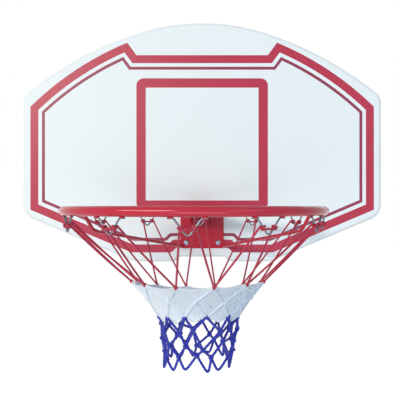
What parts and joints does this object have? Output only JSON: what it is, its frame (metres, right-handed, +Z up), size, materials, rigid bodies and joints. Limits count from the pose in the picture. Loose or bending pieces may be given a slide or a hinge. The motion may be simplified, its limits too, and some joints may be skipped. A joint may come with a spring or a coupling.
{
  "type": "basketball backboard",
  "caption": "Arched white backboard with printed red border and target square, bolted steel ring with bracing rods and wire hooks, and a knotted cord net that swings.",
  "frame": {"origin": "centre of the mounting holes, on the rear plate's back face where a post or wall bracket seats", "axes": "+X to the board's right seen from the front, +Y back to the post or wall, +Z up"},
  "size_m": [0.9, 0.6411, 0.7524],
  "materials": {
    "board_plastic": "semi-gloss",
    "print_red": "semi-gloss",
    "print_dark_red": "semi-gloss",
    "coated_red_steel": "gloss",
    "coated_black_steel": "satin",
    "zinc_steel": "bright zinc",
    "galvanised_wire": "galvanised",
    "cord_red": "twisted",
    "cord_white": "twisted",
    "cord_blue": "twisted"
  },
  "bodies": {
    "goal": {"board_panel": "board_plastic", "border_stripe_wide": "print_red", "border_stripe_thin": "print_dark_red", "target_square": "print_red", "ring": "coated_red_steel", "bracket_plate": "coated_red_steel", "bracket_tongue": "coated_red_steel", "bracket_gusset_left": "coated_red_steel", "bracket_gusset_right": "coated_red_steel", "brace_left": "coated_red_steel", "brace_right": "coated_red_steel", "net_hook_01": "galvanised_wire", "net_hook_02": "galvanised_wire", "net_hook_03": "galvanised_wire", "net_hook_04": "galvanised_wire", "net_hook_05": "galvanised_wire", "net_hook_06": "galvanised_wire", "net_hook_07": "galvanised_wire", "net_hook_08": "galvanised_wire", "net_hook_09": "galvanised_wire", "net_hook_10": "galvanised_wire", "net_hook_11": "galvanised_wire", "net_hook_12": "galvanised_wire", "ring_bolts": "zinc_steel", "bolt_washers": "zinc_steel", "bolt_nuts": "zinc_steel", "rear_plate": "coated_black_steel", "mount_weld_nuts": "zinc_steel", "net_red_hitches": "cord_red"},
    "net_upper": {"net_red_cords": "cord_red"},
    "net_lower": {"net_white_mesh": "cord_white", "net_blue_mesh": "cord_blue"}
  },
  "joints": [
    {"name": "net_swing_front_back", "type": "hinge", "parent": "goal", "child": "net_upper", "pos_m": [0, -0.388, -0.0615], "axis": [1, 0, 0], "range_deg": [-10, 10], "deforming": ["net_red_cords"]},
    {"name": "net_swing_sideways", "type": "hinge", "parent": "net_upper", "child": "net_lower", "pos_m": [0, -0.388, -0.176], "axis": [0, 1, 0], "range_deg": [-12, 12], "deforming": ["net_white_mesh"]}
  ]
}
